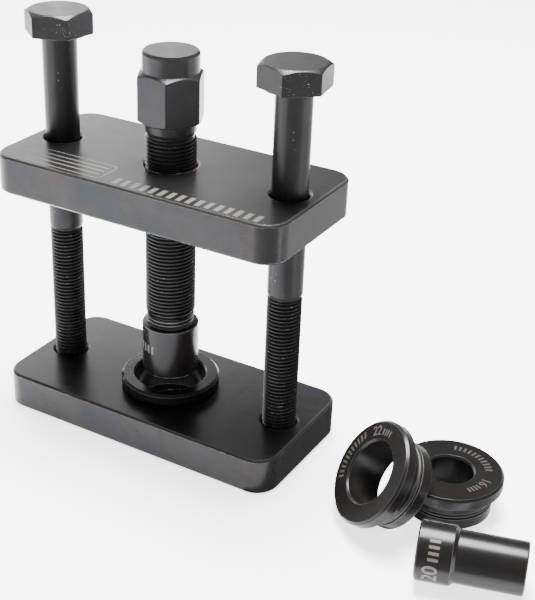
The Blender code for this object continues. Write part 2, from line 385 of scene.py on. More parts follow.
def finish_mesh(name, mesh, place):
    """Cleans the mesh, writes its edge attribute, shades it smooth and makes its object at place."""
    bm = bmesh.new()
    bm.from_mesh(mesh)
    bmesh.ops.remove_doubles(bm, verts=bm.verts, dist=0.002 * MM)
    loose = [v for v in bm.verts if not v.link_faces]
    bmesh.ops.delete(bm, geom=loose, context="VERTS")
    bmesh.ops.recalc_face_normals(bm, faces=bm.faces)
    edge_values = bm.verts.layers.float.new("edge")
    for edge in bm.edges:
        if len(edge.link_faces) != 2:
            continue
        angle = edge.calc_face_angle_signed()
        if angle < EDGE_ANGLE:
            continue
        value = min(1.0, angle / FULL_EDGE_ANGLE)
        for vert in edge.verts:
            vert[edge_values] = max(vert[edge_values], value)
    bm.to_mesh(mesh)
    bm.free()
    mesh.shade_smooth()
    mesh.set_sharp_from_angle(angle=SHARP_ANGLE)
    obj = add_object(name, mesh)
    obj.matrix_world = place
    weigh = obj.modifiers.new("weighted_normals", "WEIGHTED_NORMAL")
    weigh.keep_sharp = True
    weigh.weight = 90
    return obj


# ---------------------------------------------------------------- pieces


def at(x, y, z):
    """A place measured from the middle of the press."""
    return Matrix.Translation(PRESS + Vector((x, y, z)))


def plate_loop(bm, shrink, height):
    """The plate's rounded outline, moved in by shrink, as vertices at that height."""
    half_x = PLATE_LENGTH / 2 - PLATE_CORNER
    half_y = PLATE_WIDTH / 2 - PLATE_CORNER
    outline = rounded_outline(half_x, half_y, PLATE_CORNER - shrink, 18)
    return [bm.verts.new((x, y, height)) for x, y in outline]


def plate_hole(name, x, radius):
    """A cutter that runs through the plate and flares into a chamfer with soft edges at both faces."""
    over = 3 * MM
    flare = radius + HOLE_CHAMFER
    top = PLATE_THICKNESS
    corners = [
        (flare + over, -over, 0), (flare, 0, 0), (radius, HOLE_CHAMFER, SOFT_EDGE),
        (radius, top - HOLE_CHAMFER, SOFT_EDGE), (flare, top, 0), (flare + over, top + over, 0),
    ]
    skin = Skin(even_columns())
    skin.rows(rounded(corners, steps=3))
    skin.cap_first()
    skin.cap_last()
    tool = add_object(name, face_mesh(name, skin.points, skin.faces))
    tool.location = (x, 0, 0)
    return tool


def make_plate(name, base_z, bolt_hole_radius, middle_radius):
    soft = 0.16 * MM
    top = PLATE_THICKNESS
    corners = [
        (PLATE_CHAMFER, 0, 0), (0, PLATE_CHAMFER, soft),
        (0, top - PLATE_CHAMFER, soft), (PLATE_CHAMFER, top, 0),
    ]
    bm = bmesh.new()
    loops = [plate_loop(bm, shrink, height) for shrink, height in rounded(corners, steps=3)]
    bm.faces.new(reversed(loops[0]))
    bm.faces.new(loops[-1])
    for low, high in zip(loops, loops[1:]):
        for i in range(len(low)):
            j = (i + 1) % len(low)
            bm.faces.new((low[i], low[j], high[j], high[i]))
    bmesh.ops.recalc_face_normals(bm, faces=bm.faces)
    blank_mesh = bpy.data.meshes.new(name + "_blank")
    bm.to_mesh(blank_mesh)
    bm.free()
    blank = add_object(name + "_blank", blank_mesh)
    tools = [
        plate_hole(name + "_hole_left", -BOLT_SPACING / 2, bolt_hole_radius),
        plate_hole(name + "_hole_right", BOLT_SPACING / 2, bolt_hole_radius),
        plate_hole(name + "_hole_middle", 0, middle_radius),
    ]
    for tool in tools:
        modifier = blank.modifiers.new(tool.name, "BOOLEAN")
        modifier.operation = "DIFFERENCE"
        modifier.solver = "EXACT"
        modifier.object = tool
    bpy.context.view_layer.update()
    graph = bpy.context.evaluated_depsgraph_get()
    cut_mesh = bpy.data.meshes.new_from_object(blank.evaluated_get(graph))
    for helper in [blank, *tools]:
        bpy.data.objects.remove(helper, do_unlink=True)
    soften_faces(cut_mesh)
    cut_mesh.name = name
    return finish_mesh(name, cut_mesh, at(0, 0, base_z))


def level_faces(bm, height, slack, upright):
    """The faces that lie flat at that height."""
    level = [f for f in bm.faces if abs(f.calc_center_median().z - height) < slack]
    return [f for f in level if abs(f.normal.z) > upright]


def soften_faces(mesh):
    """Rounds the rims of the plate's two flat faces and gives each rim a guard loop on the flat."""
    bm = bmesh.new()
    bm.from_mesh(mesh)
    bmesh.ops.remove_doubles(bm, verts=bm.verts, dist=0.005 * MM)
    for height in (0, PLATE_THICKNESS):
        flat = level_faces(bm, height, 0.01 * MM, 0.99)
        rim = {e for f in flat for e in f.edges if len([g for g in e.link_faces if g in flat]) == 1}
        bmesh.ops.bevel(
            bm, geom=list(rim), offset=SOFT_EDGE, offset_type="OFFSET", segments=3, profile=0.5,
            affect="EDGES", clamp_overlap=True,
        )
        flat = level_faces(bm, height, 0.002 * MM, 0.999)
        bmesh.ops.inset_region(bm, faces=flat, thickness=0.35 * MM, use_even_offset=True)
    bm.to_mesh(mesh)
    bm.free()


def make_guide_bolt(side, x, name):
    """Hexagon head with a turned chamfer and a washer face, plain shank, neck and fine thread."""
    head_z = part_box(f"guide_bolt_{side}")[1].z - BOLT_HEAD_HEIGHT
    angles, hexagon = hexagon_columns(BOLT_HEAD_FLATS, BOLT_HEAD_TURNS[side])
    tip = BOLT_THREAD_RADIUS - 1.15 * MM
    bottom = -BOLT_LENGTH
    shank_end = -BOLT_SHANK_LENGTH
    skin = Skin(angles)
    skin.rows([(tip * 0.9, bottom), (tip, bottom + 0.1 * MM)])
    skin.thread(BOLT_THREAD_RADIUS, shank_end - 0.75 * MM, BOLT_NECK_RADIUS)
    washer = BOLT_HEAD_FLATS * 0.475
    skin.rows(rounded([
        (BOLT_NECK_RADIUS, shank_end - 0.7 * MM, 0),
        (BOLT_NECK_RADIUS, shank_end - 0.35 * MM, 0.15 * MM),
        (BOLT_SHANK_RADIUS, shank_end + 0.6 * MM, 0.4 * MM),
        (BOLT_SHANK_RADIUS, 0, 0.4 * MM),
        (washer, 0, 0.1 * MM),
        (washer + 0.1 * MM, 0.4 * MM, 0),
    ]))
    skin.row(hexagon - 0.15 * MM, 0.42 * MM)
    skin.row(hexagon, 0.6 * MM)
    skin.row(hexagon, 0.95 * MM)
    crown = BOLT_HEAD_FLATS * 0.474
    top = BOLT_HEAD_HEIGHT
    meet = top - (hexagon - crown) * CHAMFER_SLOPE
    skin.row(hexagon, meet - 0.45 * MM)
    skin.row(hexagon, meet - 0.08 * MM)
    skin.row(hexagon - 0.09 * MM, meet + 0.02 * MM)
    skin.row(crown + (hexagon - crown) * 0.5, (meet + top) / 2)
    skin.rows([(crown + 0.12 * MM, top - 0.07 * MM), (crown, top - 0.02 * MM), (crown - 0.1 * MM, top)])
    skin.rows([(crown - 0.5 * MM, top), (crown * 0.6, top), (crown * 0.2, top)])
    skin.cap_first()
    skin.cap_last()
    return skin.build(name, at(x, 0, head_z))


def make_forcing_screw():
    """Nose with its groove, thread, relief, neck, hexagon and boss, from the bottom up."""
    angles, hexagon = hexagon_columns(SCREW_HEX_FLATS, SCREW_HEX_TURN)
    nose_end = SCREW_THREAD_END - NOSE_LENGTH
    groove_low = NOSE_GROOVE_TOP - 2 * ORING_RADIUS - 2 * GAP
    groove_radius = NOSE_RADIUS - 2 * ORING_RADIUS - GAP
    nose_chamfer = 0.7 * MM
    skin = Skin(angles)
    skin.rows(rounded([
        (1.5 * MM, nose_end, 0),
        (NOSE_RADIUS - nose_chamfer, nose_end, SOFT_EDGE),
        (NOSE_RADIUS, nose_end + nose_chamfer, SOFT_EDGE),
        (NOSE_RADIUS, groove_low, SOFT_EDGE), (groove_radius, groove_low, SOFT_EDGE),
        (groove_radius, NOSE_GROOVE_TOP, SOFT_EDGE), (NOSE_RADIUS, NOSE_GROOVE_TOP, SOFT_EDGE),
        (NOSE_RADIUS, SCREW_THREAD_END, SOFT_EDGE),
        (SCREW_THREAD_RADIUS - 0.8 * MM, SCREW_THREAD_END, 0),
    ]))
    skin.thread(SCREW_THREAD_RADIUS, SCREW_THREAD_TOP - 0.4 * MM, SCREW_RELIEF_RADIUS)
    skin.rows(rounded([
        (SCREW_RELIEF_RADIUS, SCREW_THREAD_TOP - 0.3 * MM, 0),
        (SCREW_RELIEF_RADIUS, SCREW_THREAD_TOP, 0.3 * MM),
        (SCREW_NECK_RADIUS, SCREW_THREAD_TOP + 1.4 * MM, 0.4 * MM),
        (SCREW_NECK_RADIUS, SCREW_HEX_BOTTOM, 0.35 * MM),
        (SCREW_HEX_FLATS * 0.47, SCREW_HEX_BOTTOM, 0),
    ]))
    crown = SCREW_HEX_FLATS * 0.475
    low = SCREW_HEX_BOTTOM + (hexagon - crown) * CHAMFER_SLOPE
    skin.row(crown + 0.1 * MM, SCREW_HEX_BOTTOM + 0.03 * MM)
    skin.row(hexagon - 0.09 * MM, low - 0.02 * MM)
    skin.row(hexagon, low + 0.1 * MM)
    skin.row(hexagon, low + 0.5 * MM)
    crown = SCREW_BOSS_RADIUS + 0.25 * MM
    high = SCREW_HEX_TOP - (hexagon - crown) * SCREW_TOP_SLOPE
    skin.row(hexagon, high - 0.5 * MM)
    skin.row(hexagon, high - 0.08 * MM)
    skin.row(hexagon - 0.1 * MM, high + 0.03 * MM)
    skin.row(crown + (hexagon - crown) * 0.5, (high + SCREW_HEX_TOP) / 2)
    boss = SCREW_BOSS_RADIUS
    skin.rows(rounded([
        (crown, SCREW_HEX_TOP, 0), (boss, SCREW_HEX_TOP + 0.15 * MM, 0.1 * MM),
        (boss, SCREW_TOP - SCREW_BOSS_CHAMFER_HEIGHT, 0.2 * MM),
        (boss - SCREW_BOSS_CHAMFER, SCREW_TOP, 0.15 * MM), (boss * 0.5, SCREW_TOP, 0),
    ]))
    skin.row(boss * 0.15, SCREW_TOP)
    skin.cap_first()
    skin.cap_last()
    return skin.build("forcing_screw_turned", at(0, 0, 0))


def make_driver(name, sizes, place, grooves=0):
    """The origin is the middle of the pressing face and +Z runs to the socket's mouth.

    grooves is the number of turned grooves round the collar.
    """
    radius, head, step, collar, length = sizes
    face_chamfer = 0.5 * MM
    chamfer = 0.4 * MM
    socket_end = length - NOSE_LENGTH
    collar_grooves = []
    for k in range(grooves):
        middle = head + step + PITCH * (k + 0.65)
        bottom = collar - GROOVE_DEPTH
        collar_grooves += [
            (collar, middle - GROOVE_HALF_WIDTH, 0), (bottom, middle - GROOVE_HALF_FLOOR, 0),
            (bottom, middle + GROOVE_HALF_FLOOR, 0), (collar, middle + GROOVE_HALF_WIDTH, 0),
        ]
    skin = Skin(even_columns())
    skin.rows(rounded([
        (2.0 * MM, 0, 0), (radius - face_chamfer, 0, 0.15 * MM), (radius, face_chamfer, 0.2 * MM),
        (radius, head, 0.25 * MM), (collar, head + step, 0.3 * MM), *collar_grooves,
        (collar, length - chamfer, SOFT_EDGE), (collar - chamfer, length, SOFT_EDGE),
        (SOCKET_RADIUS + chamfer, length, SOFT_EDGE), (SOCKET_RADIUS, length - chamfer, SOFT_EDGE),
        (SOCKET_RADIUS, socket_end, 0.3 * MM), (1.5 * MM, socket_end - 1.2 * MM, 0),
    ]))
    skin.cap_first()
    skin.cap_last()
    return skin.build(name, place)


def make_receiver_ring(name, size, place):
    """The origin is the middle of the marked face and the ring runs down from it."""
    bore = RING_BORES[size]
    groove_low = RING_GROOVE_TOP + 2 * ORING_RADIUS + 2 * GAP
    groove_radius = RING_SPIGOT_RADIUS - 2 * ORING_RADIUS - GAP
    flange = RING_FLANGE_RADIUS
    spigot = RING_SPIGOT_RADIUS
    flange_end = -RING_FLANGE_THICKNESS
    neck = spigot - 0.35 * MM
    face_chamfer = 0.8 * MM
    bore_chamfer = 0.6 * MM
    end_chamfer = 0.5 * MM
    flange_chamfer = 0.25 * MM
    soft = 0.14 * MM
    corners = [
        (bore + bore_chamfer, 0, soft),
        (flange - face_chamfer, 0, soft), (flange, -face_chamfer, 0.2 * MM),
        (flange, flange_end + flange_chamfer, soft), (flange - flange_chamfer, flange_end, soft),
        (neck, flange_end, 0.2 * MM), (neck, flange_end - 0.8 * MM, soft),
        (spigot, flange_end - 1.15 * MM, soft), (spigot, -RING_GROOVE_TOP, soft),
        (groove_radius, -RING_GROOVE_TOP, soft), (groove_radius, -groove_low, soft),
        (spigot, -groove_low, soft), (spigot, -RING_LENGTH + end_chamfer, soft),
        (spigot - end_chamfer, -RING_LENGTH, soft), (bore + end_chamfer, -RING_LENGTH, soft),
        (bore, -RING_LENGTH + end_chamfer, soft), (bore, -bore_chamfer, soft),
    ]
    skin = Skin(even_columns(FINE_ROUND))
    skin.rows(rounded(corners, closed=True))
    skin.close()
    return skin.build(name, place)


def make_oring(name, middle_radius, height, place):
    """A rubber ring with a fine moulding line round its outside."""
    steps = 20
    moulding_line = 0.02 * MM
    skin = Skin(even_columns(FINE_ROUND))
    for k in range(steps):
        angle = 2 * math.pi * k / steps
        radius = ORING_RADIUS + (0 if k else moulding_line)
        skin.row(middle_radius + radius * math.cos(angle), height + radius * math.sin(angle))
    skin.close()
    return skin.build(name, place)


def make_oil_bead():
    """The line of dried oil in the screw hole's chamfer, on top of the upper plate."""
    steps = 8
    skin = Skin(even_columns(BEAD_ROUND))
    wander = 0.06 * MM * np.sin(skin.angles * 7) + 0.05 * MM * np.sin(skin.angles * 17 + 1)
    thickness = 0.26 * MM + wander
    for k in range(steps):
        angle = 2 * math.pi * k / steps
        skin.row(
            UPPER_BORE_RADIUS + 0.55 * MM + thickness * math.cos(angle),
            PLATE_THICKNESS - 0.30 * MM + thickness * math.sin(angle),
        )
    skin.close()
    return skin.build("screw_oil_bead", at(0, 0, UPPER_PLATE_Z))


# ---------------------------------------------------------------- laser marks

MARK_HEIGHT = 0.02 * MM
MARK_LIFT = 0.004 * MM


def flat_text(word, size, squeeze=1.0):
    """A bmesh of the word's faces, its left end at the origin, on Z 0."""
    curve = bpy.data.curves.new("mark_text", "FONT")
    curve.body = word
    curve.size = size
    curve.offset = size * 0.018
    curve.resolution_u = 4
    helper = add_object("mark_text", curve)
    bpy.context.view_layer.update()
    graph = bpy.context.evaluated_depsgraph_get()
    mesh = bpy.data.meshes.new_from_object(helper.evaluated_get(graph))
    bpy.data.objects.remove(helper, do_unlink=True)
    bm = bmesh.new()
    bm.from_mesh(mesh)
    bmesh.ops.scale(bm, vec=(squeeze, 1, 1), verts=bm.verts)
    bpy.data.meshes.remove(mesh)
    bpy.data.curves.remove(curve)
    return bm


def reach_x(bm):
    """The lowest and highest X of the flat faces."""
    return min(v.co.x for v in bm.verts), max(v.co.x for v in bm.verts)


def slice_across(bm, step):
    """Cuts the flat faces into strips along X, so that they can bend."""
    low, high = reach_x(bm)
    x = low + step
    while x < high:
        everything = bm.verts[:] + bm.edges[:] + bm.faces[:]
        bmesh.ops.bisect_plane(bm, geom=everything, plane_co=(x, 0, 0), plane_no=(1, 0, 0))
        x += step


def mark_object(name, bm, place, bend):
    """Thickens flat marks into a thin solid film and carries each point through bend(x, y, height)."""
    bmesh.ops.remove_doubles(bm, verts=bm.verts, dist=0.001 * MM)
    flat = bm.faces[:]
    extruded = bmesh.ops.extrude_face_region(bm, geom=flat, use_keep_orig=True)["geom"]
    for item in extruded:
        if isinstance(item, bmesh.types.BMVert):
            item.co.z += MARK_HEIGHT
    for vert in bm.verts:
        vert.co = bend(*vert.co)
    bmesh.ops.recalc_face_normals(bm, faces=bm.faces)
    mesh = bpy.data.meshes.new(name)
    bm.to_mesh(mesh)
    bm.free()
    mesh.shade_flat()
    obj = add_object(name, mesh)
    obj.matrix_world = place
    return obj


def merge(bm, other):
    """Adds the other bmesh's faces to bm."""
    mesh = bpy.data.meshes.new("merge")
    other.to_mesh(mesh)
    other.free()
    bm.from_mesh(mesh)
    bpy.data.meshes.remove(mesh)


def bars(count, width, height, pitch, start=0.0):
    """A row of upright bars, a plain mark with no letters in it."""
    bm = bmesh.new()
    for k in range(count):
        x = start + k * pitch
        corners = [(x, 0), (x + width, 0), (x + width, height), (x, height)]
        bm.faces.new([bm.verts.new((cx, cy, 0)) for cx, cy in corners])
    return bm


def size_mark(number, size, squeeze):
    """A plain size number followed by four short bars, as flat faces."""
    bm = flat_text(number, size, squeeze)
    pitch = size * 0.30 * squeeze
    end = reach_x(bm)[1] + pitch * 0.8
    merge(bm, bars(4, pitch * 0.5, size * 0.50, pitch, end))
    return bm


def ring_mark(name, bm, radius, angle, place):
    """Lays flat marks along a circle on a ring's face, reading clockwise, their middle at that angle."""
    slice_across(bm, 0.4 * MM)
    middle = sum(reach_x(bm)) / 2

    def bend(x, y, height):
        bearing = math.radians(angle) - (x - middle) / radius
        return ((radius + y) * math.cos(bearing), (radius + y) * math.sin(bearing), height + MARK_LIFT)

    return mark_object(name, bm, place, bend)


def barrel_mark(name, bm, radius, baseline, angle, place, upright=1):
    """Wraps flat marks round a driver's head, their tops towards the socket.

    Where upright is -1, their tops point away from it.
    """
    slice_across(bm, 0.3 * MM)
    middle = sum(reach_x(bm)) / 2

    def bend(x, y, height):
        bearing = math.radians(angle) + upright * (x - middle) / radius
        out = radius + MARK_LIFT + height
        return (out * math.cos(bearing), out * math.sin(bearing), baseline + upright * y)

    return mark_object(name, bm, place, bend)


def plate_badge():
    """A plain rectangle outline with round corners and three lines in it, a blank label."""
    half_length = 16.6 * MM
    half_width = 6.3 * MM
    corner = 2.4 * MM
    line = 0.55 * MM
    thickness = 0.8 * MM
    reach = half_length - corner
    bm = bmesh.new()
    outer, inner = [
        [bm.verts.new((x, y, 0)) for x, y in rounded_outline(reach, half_width - corner, radius, 6)]
        for radius in (corner, corner - line)
    ]
    for k in range(len(outer)):
        j = (k + 1) % len(outer)
        bm.faces.new((outer[k], outer[j], inner[j], inner[k]))
    for low in (-3.3 * MM, -0.4 * MM, 2.5 * MM):
        high = low + thickness
        corners = [(-reach, low), (reach, low), (reach, high), (-reach, high)]
        bm.faces.new([bm.verts.new((x, y, 0)) for x, y in corners])
    return bm


def lie_flat(x, y, height):
    return (x, y, height + MARK_LIFT)


# ---------------------------------------------------------------- materials

BARE_STEEL = (0.50, 0.48, 0.45)


class Graph:
    """Short names for building one material's node tree."""

    def __init__(self, name):
        self.material = bpy.data.materials.new(name)
        self.material.use_nodes = True
        self.tree = self.material.node_tree
        self.shader = self.tree.nodes["Principled BSDF"]
        self.object_space = self.tree.nodes.new("ShaderNodeTexCoord").outputs["Object"]

    def node(self, kind, **inputs):
        made = self.tree.nodes.new(kind)
        for key, value in inputs.items():
            self.put(made.inputs[key.replace("_", " ")], value)
        return made

    def put(self, socket, value):
        if isinstance(value, bpy.types.NodeSocket):
            self.tree.links.new(value, socket)
        else:
            socket.default_value = value

    def noise(self, scale, detail=3.0, rough=0.55, distortion=0.0, vector=None):
        made = self.node(
            "ShaderNodeTexNoise", Scale=scale, Detail=detail, Roughness=rough, Distortion=distortion
        )
        self.put(made.inputs["Vector"], vector or self.object_space)
        return made.outputs["Fac"]

    def stretched(self, scale):
        """Object space scaled apart along its axes, for marks that run one way."""
        made = self.node("ShaderNodeVectorMath")
        made.operation = "MULTIPLY"
        self.put(made.inputs[0], self.object_space)
        made.inputs[1].default_value = scale
        return made.outputs[0]

    def turned_space(self):
        """(distance from the axis, height, 0), for marks that run round a turned piece."""
        parts = self.node("ShaderNodeSeparateXYZ", Vector=self.object_space)
        flat = self.node("ShaderNodeCombineXYZ", X=parts.outputs["X"], Y=parts.outputs["Y"])
        length = self.node("ShaderNodeVectorMath")
        length.operation = "LENGTH"
        self.put(length.inputs[0], flat.outputs[0])
        made = self.node("ShaderNodeCombineXYZ", X=length.outputs["Value"], Y=parts.outputs["Z"])
        return made.outputs[0]

    def math(self, operation, first, second=0.0, third=0.0):
        made = self.tree.nodes.new("ShaderNodeMath")
        made.operation = operation
        for socket, value in zip(made.inputs, (first, second, third)):
            self.put(socket, value)
        return made.outputs[0]

    def span(self, value, low, high, to_low=0.0, to_high=1.0):
        made = self.tree.nodes.new("ShaderNodeMapRange")
        made.interpolation_type = "SMOOTHSTEP"
        for socket, number in zip(made.inputs, (value, low, high, to_low, to_high)):
            self.put(socket, number)
        return made.outputs[0]

    def mix(self, share, first, second, blend="MIX"):
        made = self.tree.nodes.new("ShaderNodeMix")
        made.data_type = "RGBA"
        made.blend_type = blend
        self.put(made.inputs["Factor"], share)
        for socket, value in ((made.inputs[6], first), (made.inputs[7], second)):
            self.put(socket, value if isinstance(value, bpy.types.NodeSocket) else (*value, 1))
        return made.outputs[2]

    def ramp(self, value, stops):
        made = self.node("ShaderNodeValToRGB", Fac=value)
        elements = made.color_ramp.elements
        while len(elements) < len(stops):
            elements.new(0.5)
        for element, (place, color) in zip(elements, stops):
            element.position = place
            element.color = (*color, 1)
        return made.outputs["Color"]

    def bump(self, height, strength, distance):
        made = self.node("ShaderNodeBump", Height=height, Strength=strength, Distance=distance)
        return made.outputs["Normal"]


def scaled(color, share):
    return tuple(c * share for c in color)


def shifted(color, share, change):
    return tuple(c + share * d for c, d in zip(color, change))


def black_oxide(name, tone, ior, rough, ground=False, wear=0.6, polish=0.0, cloudy=1.0, specks=0.0):
    """Blackened steel: a dark film with a cloudy gloss, tool marks, worn edges and bright specks."""
    g = Graph(name)
    cloud = g.noise(55, 5, 0.6, 0.6)
    patch = g.noise(150, 2, 0.5, 0.4)
    plain = (0.74, 0.73, 0.78)
    warm = shifted(plain, cloudy, (0.10, 0.01, -0.11))
    blue = shifted(plain, cloudy, (-0.15, -0.03, 0.12))
    light = shifted(plain, cloudy, (0.10, 0.10, 0.14))
    tint = g.ramp(cloud, [(0.36, blue), (0.46, plain), (0.55, light), (0.66, warm)])
    dark = 1 - 0.18 * cloudy
    shade = g.ramp(patch, [(0.28, (dark, dark, dark)), (0.6, (1.0, 1.0, 1.0))])
    g.put(g.shader.inputs["Specular Tint"], g.mix(1.0, tint, shade, "MULTIPLY"))
    g.shader.inputs["IOR"].default_value = ior
    if ground:
        marks = g.noise(1.0, 3, 0.7, 0.0, g.stretched((60, 1500, 1500)))
    else:
        marks = g.noise(1700, 2, 0.6, 0.0, g.turned_space())
        turned = g.node("ShaderNodeTangent")
        turned.direction_type = "RADIAL"
        turned.axis = "Z"
        g.put(g.shader.inputs["Tangent"], turned.outputs[0])
        g.shader.inputs["Anisotropic"].default_value = 0.4
    patchy = g.span(patch, 0.3, 0.75, rough - 0.02 * cloudy, rough + 0.03 * cloudy)
    rough_value = g.math("ADD", patchy, g.math("MULTIPLY", marks, 0.05))
    edge = g.node("ShaderNodeAttribute")
    edge.attribute_name = "edge"
    rubbed = g.math("MULTIPLY", edge.outputs["Fac"], g.noise(700, 4, 0.7))
    bare = g.span(rubbed, 0.68 - 0.2 * wear, 0.80 - 0.2 * wear)
    polished = g.math("MULTIPLY", edge.outputs["Fac"], polish)
    bare = g.math("MAXIMUM", g.math("MULTIPLY", bare, 0.8), polished)
    if specks:
        dots = g.span(g.noise(2300, 1, 0.5), 0.725, 0.75)
        where = g.span(g.noise(120, 2, 0.5), 0.5, 0.62)
        bare = g.math("MAXIMUM", bare, g.math("MULTIPLY", g.math("MULTIPLY", dots, where), specks))
    film = g.mix(cloud, scaled(tone, 0.8), scaled(tone, 1.2))
    g.put(g.shader.inputs["Base Color"], g.mix(bare, film, BARE_STEEL))
    g.put(g.shader.inputs["Metallic"], bare)
    g.put(g.shader.inputs["Roughness"], rough_value)
    g.put(g.shader.inputs["Normal"], g.bump(marks, 0.05, 0.012 * MM))
    return g.material


def rubber_material():
    g = Graph("oring_rubber_look")
    dust = g.noise(900, 4, 0.6)
    color = g.ramp(dust, [
        (0.35, (0.008, 0.008, 0.008)), (0.62, (0.014, 0.014, 0.015)), (0.8, (0.03, 0.029, 0.028))
    ])
    g.put(g.shader.inputs["Base Color"], color)
    g.put(g.shader.inputs["Roughness"], g.span(dust, 0.3, 0.8, 0.42, 0.62))
    g.put(g.shader.inputs["Normal"], g.bump(g.noise(2800, 3), 0.2, 0.02 * MM))
    return g.material


def mark_material(name, tone):
    """Steel bared by a laser: matt, warm grey, a little uneven."""
    g = Graph(name)
    grain = g.noise(1900, 4, 0.7)
    color = g.ramp(grain, [(0.3, scaled(tone, 0.7)), (0.5, tone), (0.75, scaled(tone, 1.3))])
    g.put(g.shader.inputs["Base Color"], color)
    g.shader.inputs["Metallic"].default_value = 0.45
    g.put(g.shader.inputs["Roughness"], g.span(grain, 0.3, 0.7, 0.5, 0.65))
    g.put(g.shader.inputs["Normal"], g.bump(grain, 0.3, 0.01 * MM))
    return g.material


def oil_material():
    g = Graph("dried_oil_look")
    grain = g.noise(1300, 4, 0.7)
    color = g.ramp(grain, [
        (0.3, (0.05, 0.022, 0.016)), (0.5, (0.17, 0.085, 0.06)), (0.75, (0.34, 0.20, 0.15))
    ])
    g.put(g.shader.inputs["Base Color"], color)
    g.put(g.shader.inputs["Roughness"], g.span(grain, 0.3, 0.7, 0.25, 0.5))
    g.put(g.shader.inputs["Normal"], g.bump(grain, 0.4, 0.05 * MM))
    return g.material


# ---------------------------------------------------------------- assembly


def dress(obj, material, body, node=None):
    """Gives the piece its material and body, and hides the CAD node that it replaces."""
    obj.data.materials.clear()
    obj.data.materials.append(material)
    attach(obj, body)
    if node:
        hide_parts(node)


PLATE_LOOK = black_oxide(
    "plate_black_oxide_look", (0.0085, 0.0079, 0.0080), 1.38, 0.27, ground=True, wear=1.1, polish=0.10
)
BOLT_LOOK = black_oxide(
    "bolt_black_oxide_look", (0.0100, 0.0092, 0.0090), 1.33, 0.30, wear=0.4, cloudy=0.5, specks=0.7
)
SCREW_LOOK = black_oxide(
    "screw_black_oxide_look", (0.0130, 0.0121, 0.0118), 1.37, 0.27, wear=0.35, cloudy=0.6
)
ADAPTER_LOOK = black_oxide(
    "adapter_black_oxide_look", (0.0072, 0.0064, 0.0060), 1.33, 0.20, wear=0.5, polish=0.12, cloudy=0.3
)
RUBBER_LOOK = rubber_material()
PLATE_MARK_LOOK = mark_material("plate_mark_look", (0.102, 0.093, 0.080))
DRIVER_MARK_LOOK = mark_material("driver_mark_look", (0.115, 0.104, 0.088))
# The 27 ring's mark is painted lighter to offset the shade that the driver and the upper plate cast on it:
# painted light
RING_MARK_LOOKS = {
    "27": mark_material("ring_27_mark_lightened_look", (0.15, 0.136, 0.116)),
    "22": mark_material("ring_22_mark_look", (0.060, 0.054, 0.045)),
    "16": mark_material("ring_16_mark_look", (0.024, 0.021, 0.018)),
}
OIL_LOOK = oil_material()

lower = make_plate("lower_plate_ground", 0, TAPPED_HOLE_RADIUS, LOWER_BORE_RADIUS)
dress(lower, PLATE_LOOK, "base", "lower_plate")
upper = make_plate("upper_plate_ground", UPPER_PLATE_Z, CLEARANCE_HOLE_RADIUS, UPPER_BORE_RADIUS)
dress(upper, PLATE_LOOK, "upper_plate", "upper_plate")
for side, sign in (("left", -1), ("right", 1)):
    bolt = make_guide_bolt(side, sign * BOLT_SPACING / 2, f"guide_bolt_{side}_turned")
    dress(bolt, BOLT_LOOK, f"{side}_bolt", f"guide_bolt_{side}")
dress(make_forcing_screw(), SCREW_LOOK, "screw", "forcing_screw")
nose_ring_height = NOSE_GROOVE_TOP - GAP - ORING_RADIUS
nose_ring = make_oring("nose_oring_fine", NOSE_RADIUS - ORING_RADIUS, nose_ring_height, at(0, 0, 0))
dress(nose_ring, RUBBER_LOOK, "screw", "nose_oring")
dress(make_oil_bead(), OIL_LOOK, "upper_plate")

driver_22_place = at(0, 0, DRIVER_22_FACE)
driver_20_place = (
    Matrix.Translation(PRESS + DRIVER_20_PLACE)
    @ Matrix.Rotation(math.radians(DRIVER_20_TURN), 4, "Z")
    @ Matrix.Rotation(math.pi / 2, 4, "Y")
)
driver_22 = make_driver("driver_22_turned", DRIVER_22, driver_22_place, grooves=3)
dress(driver_22, ADAPTER_LOOK, "driver", "driver_22")
driver_20 = make_driver("driver_20_turned", DRIVER_20, driver_20_place)
dress(driver_20, ADAPTER_LOOK, "driver_20", "driver_20")

ring_places = {
    "27": at(0, 0, RING_27_FACE),
    "22": (
        Matrix.Translation(PRESS + RING_22_PLACE)
        @ Matrix.Rotation(math.radians(RING_22_TURN), 4, "Z")
        @ Matrix.Rotation(math.radians(RING_22_TILT), 4, "X")
    ),
    "16": Matrix.Translation(PRESS + RING_16_PLACE),
}
for size, place in ring_places.items():
    body = f"ring_{size}"
    ring = make_receiver_ring(f"receiver_ring_{size}_turned", size, place)
    dress(ring, ADAPTER_LOOK, body, f"receiver_ring_{size}")
    rubber_height = -RING_GROOVE_TOP - GAP - ORING_RADIUS
    oring = make_oring(f"oring_{size}_fine", RING_SPIGOT_RADIUS - ORING_RADIUS, rubber_height, place)
    dress(oring, RUBBER_LOOK, body, f"oring_{size}")

# Size marks on the adapters, and plain bars where the real ones carry words
DRIVER_NUMBER_SIZE = 6.8 * MM
driver_marks = (
    ("20", DRIVER_20, 7.4 * MM, 254, driver_20_place, -1, "driver_20"),
    ("22", DRIVER_22, 9.3 * MM, 225, driver_22_place, 1, "driver"),
)
for size, sizes, baseline, angle, place, upright, body in driver_marks:
    number = size_mark(size, DRIVER_NUMBER_SIZE, 1.0)
    mark = barrel_mark(f"size_mark_driver_{size}", number, sizes[0], baseline, angle, place, upright)
    dress(mark, DRIVER_MARK_LOOK, body)

